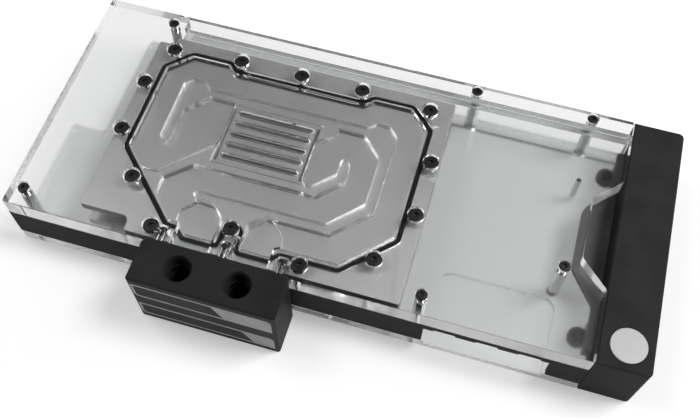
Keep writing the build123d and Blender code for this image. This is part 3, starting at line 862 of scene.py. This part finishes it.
@dataclass
class Screws:
    """One group of identical socket screws, drawn finer than its solids."""

    node: str
    facing: Facing
    size: ScrewSize
    around: int = 36
    flat_share: float = 0.72
    dome_share: float = 0.34
    dome_steps: int = 4
    socket_share: float = 0.58
    cone_share: float = 0.66
    cone_end_share: float = 0.55
    lip_depth: float = 0.12 * MM
    lip_width: float = 0.14 * MM
    steps_per_turn: int = 5
    crest_share: float = 0.1
    ridge_share: float = 0.45
    sharp_degrees: float = 40.0

    def head(self, bm: bmesh.types.BMesh) -> list[list[bmesh.types.BMVert]]:
        """Draw the socket, the domed head and the start of the shank.

        Args:
            bm: The mesh to add to.

        Returns:
            The loops from the socket's floor to the shank.
        """
        size = self.size
        flat, dome = size.head_r * self.flat_share, size.head_h * self.dome_share
        hexa = hexagon(size.socket)
        loops = [
            ring(bm, lambda a: hexa(a) * self.cone_end_share, -size.head_h * self.cone_share, self.around),
            ring(bm, hexa, -size.head_h * self.socket_share, self.around),
            ring(bm, hexa, -self.lip_depth, self.around),
            ring(bm, lambda a: hexa(a) + self.lip_width, 0.0, self.around),
            ring(bm, lambda a: flat, 0.0, self.around),
        ]
        for step in range(1, self.dome_steps + 1):
            turn = math.pi / 2 * step / self.dome_steps
            radius = flat + (size.head_r - flat) * math.sin(turn)
            loops.append(ring(bm, lambda a: radius, -dome * (1 - math.cos(turn)), self.around))
        loops.append(ring(bm, lambda a: size.head_r, -size.head_h, self.around))
        loops.append(ring(bm, lambda a: size.shank_r, -size.head_h, self.around))
        return loops

    def thread_radius(self, angle: float, height: float) -> float:
        """Give the threaded shank's radius.

        Args:
            angle: The angle round the shank.
            height: The height along it.

        Returns:
            The radius there.
        """
        size = self.size
        groove = self.ridge_share * size.pitch * (1 - thread_wave(angle, height, size.pitch))
        return size.shank_r - self.crest_share * size.pitch - groove

    def one(self, length: float) -> bpy.types.Mesh:
        """Mesh one screw, its head's top at zero and its shank running down.

        Args:
            length: The whole screw's length.

        Returns:
            The mesh of the screw.
        """
        bm = bmesh.new()
        loops = self.head(bm)
        shank = length - self.size.head_h
        steps = max(2, int(shank / self.size.pitch * self.steps_per_turn))
        for step in range(1, steps + 1):
            height = -self.size.head_h - shank * step / steps
            loops.append(ring(bm, lambda a: self.thread_radius(a, height), height, self.around))
        for first, second in zip(loops, loops[1:]):
            bridge(bm, first, second)
        bm.faces.new(loops[0])
        bm.faces.new(list(reversed(loops[-1])))
        bmesh.ops.recalc_face_normals(bm, faces=bm.faces)
        return clean_mesh(self.node + "_one", bm)

    def seat(self, low: Vector, high: Vector) -> tuple[Vector, float]:
        """Find where a screw stands in its solid's box.

        Args:
            low: The box's lowest corner.
            high: The box's highest corner.

        Returns:
            The middle of the head's top and the screw's length.
        """
        middle = (low + high) / 2
        if self.facing is Facing.UP:
            return Vector((middle.x, middle.y, high.z)), high.z - low.z
        if self.facing is Facing.DOWN:
            return Vector((middle.x, middle.y, low.z)), high.z - low.z
        return Vector((middle.x, high.y, middle.z)), high.y - low.y

    def build(self) -> bpy.types.Object:
        """Set a fine screw on each solid of the group.

        Returns:
            The screws as one piece.
        """
        turn = Matrix.Rotation(self.facing.value, 4, "X")
        joined = bmesh.new()
        for low, high in islands(self.node):
            place, length = self.seat(low, high)
            mesh = self.one(length)
            mesh.transform(Matrix.Translation(place) @ turn)
            joined.from_mesh(mesh)
            bpy.data.meshes.remove(mesh)
        name = self.node + "_cut"
        piece = new_piece(name, clean_mesh(name, joined), OXIDE)
        shade_smooth(piece, self.sharp_degrees)
        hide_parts(self.node)
        return piece


@dataclass
class Posts:
    """Hexagon posts between the covers and the thin round pin."""

    inset: float = 0.02 * MM
    edge: float = 0.2 * MM

    def build(self) -> list[bpy.types.Object]:
        """Make the bright posts."""
        return [dressed_copy("standoffs", "turned", POST_STEEL, self.inset, self.edge)]


@dataclass(frozen=True)
class Bar:
    """A plain printed bar on the terminal's front, from the block's left edge and its top."""

    left: float
    right: float
    top: float
    bottom: float
    fill_top: float
    fill_bottom: float


@dataclass
class Terminal:
    """The black block with two threaded ports and its plain printed bars."""

    edge: float = 0.35 * MM
    inset: float = 0.03 * MM
    port_spacing: float = 28.0 * MM
    thread_around: int = 72
    thread_pitch: float = 1.337 * MM
    thread_r: float = 6.56 * MM
    thread_depth: float = 0.62 * MM
    thread_length: float = 7.2 * MM
    thread_drop: float = 0.06 * MM
    thread_skin: float = 0.02 * MM
    thread_lead: float = 0.8 * MM
    steps_per_turn: int = 12
    stroke: float = 1.3 * MM
    print_depth: float = 0.022 * MM
    print_gap: float = 0.008 * MM
    fill_r: float = 0.2 * MM
    fill_end_r: float = 1.2 * MM
    corner_r: float = 0.3 * MM
    end_r: float = 2.5 * MM
    start_r: float = 3.0 * MM
    bars: tuple[Bar, ...] = (
        Bar(1.5 * MM, 67.5 * MM, 4.5 * MM, 17.0 * MM, 39.5 * MM, 44.5 * MM),
        Bar(1.5 * MM, 67.5 * MM, 25.0 * MM, 37.0 * MM, 52.0 * MM, 57.0 * MM),
    )

    def outline(self, left: float, right: float, top: float, bottom: float, gap: float) -> list[Pair]:
        """Draw a bar's outline, with two opposite corners rounded wide.

        Args:
            left: The bar's left side.
            right: Its right side.
            top: Its upper side.
            bottom: Its lower side.
            gap: How far the outline is drawn in.

        Returns:
            The outline's points.
        """
        return rounded([
            (left + gap, top - gap, self.corner_r),
            (right - gap, top - gap, self.end_r - gap),
            (right - gap, bottom + gap, self.corner_r),
            (left + gap, bottom + gap, self.start_r - gap),
        ])

    def add_bar(self, bm: bmesh.types.BMesh, bar: Bar) -> None:
        """Add one bar: a thin frame and a filled right end.

        Args:
            bm: The mesh to add to.
            bar: The bar's sizes.
        """
        low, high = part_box("terminal_block")
        front = low.y + self.print_gap
        back = front + self.print_depth
        sides = (low.x + bar.left, low.x + bar.right, high.z - bar.top, high.z - bar.bottom)
        outer, inner = (self.outline(*sides, gap) for gap in (0.0, self.stroke))
        loops = [
            [bm.verts.new((x, y, z)) for x, z in line]
            for line, y in ((outer, front), (outer, back), (inner, back), (inner, front))
        ]
        for first, second in zip(loops, loops[1:] + loops[:1]):
            bridge(bm, first, second)
        right, top, bottom = sides[1] - self.stroke, sides[2] - self.stroke, sides[3] + self.stroke
        fill = rounded([
            (low.x + bar.fill_top, top, self.fill_r),
            (right, top, self.fill_end_r),
            (right, bottom, self.fill_r),
            (low.x + bar.fill_bottom, bottom, self.fill_r),
        ])
        near, far = ([bm.verts.new((x, y, z)) for x, z in fill] for y in (front, back))
        bridge(bm, near, far)
        bm.faces.new(near)
        bm.faces.new(list(reversed(far)))

    def printed(self) -> bpy.types.Object:
        """Lay the plain bars on the front face.

        Returns:
            The bars as one piece.
        """
        bm = bmesh.new()
        for bar in self.bars:
            self.add_bar(bm, bar)
        bmesh.ops.recalc_face_normals(bm, faces=bm.faces)
        piece = new_piece("terminal_print", clean_mesh("terminal_print", bm), PRINT)
        return piece

    def ridge_radius(self, angle: float, height: float) -> float:
        """Give the port thread's radius, which fades out at the mouth.

        Args:
            angle: The angle round the port.
            height: The height, zero at the mouth and negative below it.

        Returns:
            The radius there.
        """
        fade = min(1.0, -height / self.thread_lead)
        ridge = self.thread_depth * fade * thread_wave(angle, height, self.thread_pitch)
        return self.thread_r - self.thread_skin - ridge

    def sleeve(self) -> bpy.types.Mesh:
        """Mesh one port's thread as a closed sleeve, its mouth at zero.

        Returns:
            The mesh of the sleeve.
        """
        bm = bmesh.new()
        steps = int(self.thread_length / self.thread_pitch * self.steps_per_turn)
        loops = [ring(bm, lambda a: self.thread_r, -self.thread_length, self.thread_around)]
        for step in range(steps + 1):
            height = -self.thread_length * (1 - step / steps)
            loops.append(ring(bm, lambda a: self.ridge_radius(a, height), height, self.thread_around))
        loops.append(ring(bm, lambda a: self.thread_r, 0.0, self.thread_around))
        for first, second in zip(loops, loops[1:] + loops[:1]):
            bridge(bm, first, second)
        bmesh.ops.recalc_face_normals(bm, faces=bm.faces)
        return clean_mesh("thread_one", bm)

    def threads(self) -> bpy.types.Object:
        """Set a thread in each port.

        Returns:
            Both threads as one piece.
        """
        low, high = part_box("terminal_block")
        middle = (low + high) / 2
        joined = bmesh.new()
        for side in (-1, 1):
            mesh = self.sleeve()
            across = middle.x + side * self.port_spacing / 2
            mesh.transform(Matrix.Translation((across, middle.y, high.z - self.thread_drop)))
            joined.from_mesh(mesh)
            bpy.data.meshes.remove(mesh)
        piece = new_piece("port_threads", clean_mesh("port_threads", joined), ACETAL)
        for face in piece.data.polygons:
            face.use_smooth = True
        return piece

    def build(self) -> list[bpy.types.Object]:
        """Make the block, its threads and its print."""
        block = dressed_copy("terminal_block", "milled", ACETAL, self.inset, self.edge)
        return [block, self.threads(), self.printed()]


@dataclass
class DarkParts:
    """Front wall, end cover, bracket and the plain disc."""

    edge: float = 0.25 * MM
    disc_edge: float = 0.15 * MM
    inset: float = 0.04 * MM
    metal_inset: float = 0.0

    def build(self) -> list[bpy.types.Object]:
        """Make the black pieces, the bracket and the disc.

        Returns:
            The four pieces.
        """
        return [
            dressed_copy("side_frame", "anodised", ANODISED, self.inset, self.edge),
            dressed_copy("end_cover", "anodised", ANODISED, self.inset, self.edge),
            dressed_copy("end_insert", "dark", BRACKET, self.metal_inset, self.edge),
            dressed_copy("end_badge", "disc", DISC, self.metal_inset, self.disc_edge),
        ]


def main() -> None:
    """Build the studio and each sub-assembly in order."""
    logging.basicConfig(level=logging.INFO, format="%(message)s")
    Studio().build()
    made: list[bpy.types.Object] = []
    for part in (ClearShell(), ColdPlates(), Seals(), Posts(), Terminal(), DarkParts()):
        made += part.build()
    groups = (
        Screws("cover_screws", Facing.UP, M4),
        Screws("standoff_screws", Facing.UP, M3),
        Screws("insert_screws", Facing.UP, M3),
        Screws("lower_standoff_screws", Facing.DOWN, M3),
        Screws("rear_screws", Facing.DOWN, M3),
        Screws("end_cover_screws", Facing.DOWN, M3),
        Screws("terminal_screws", Facing.BACK, M25),
    )
    made += [group.build() for group in groups]
    for piece in made:
        log.info("piece %s: %d faces", piece.name, len(piece.data.polygons))


if __name__ == "__main__":
    main()
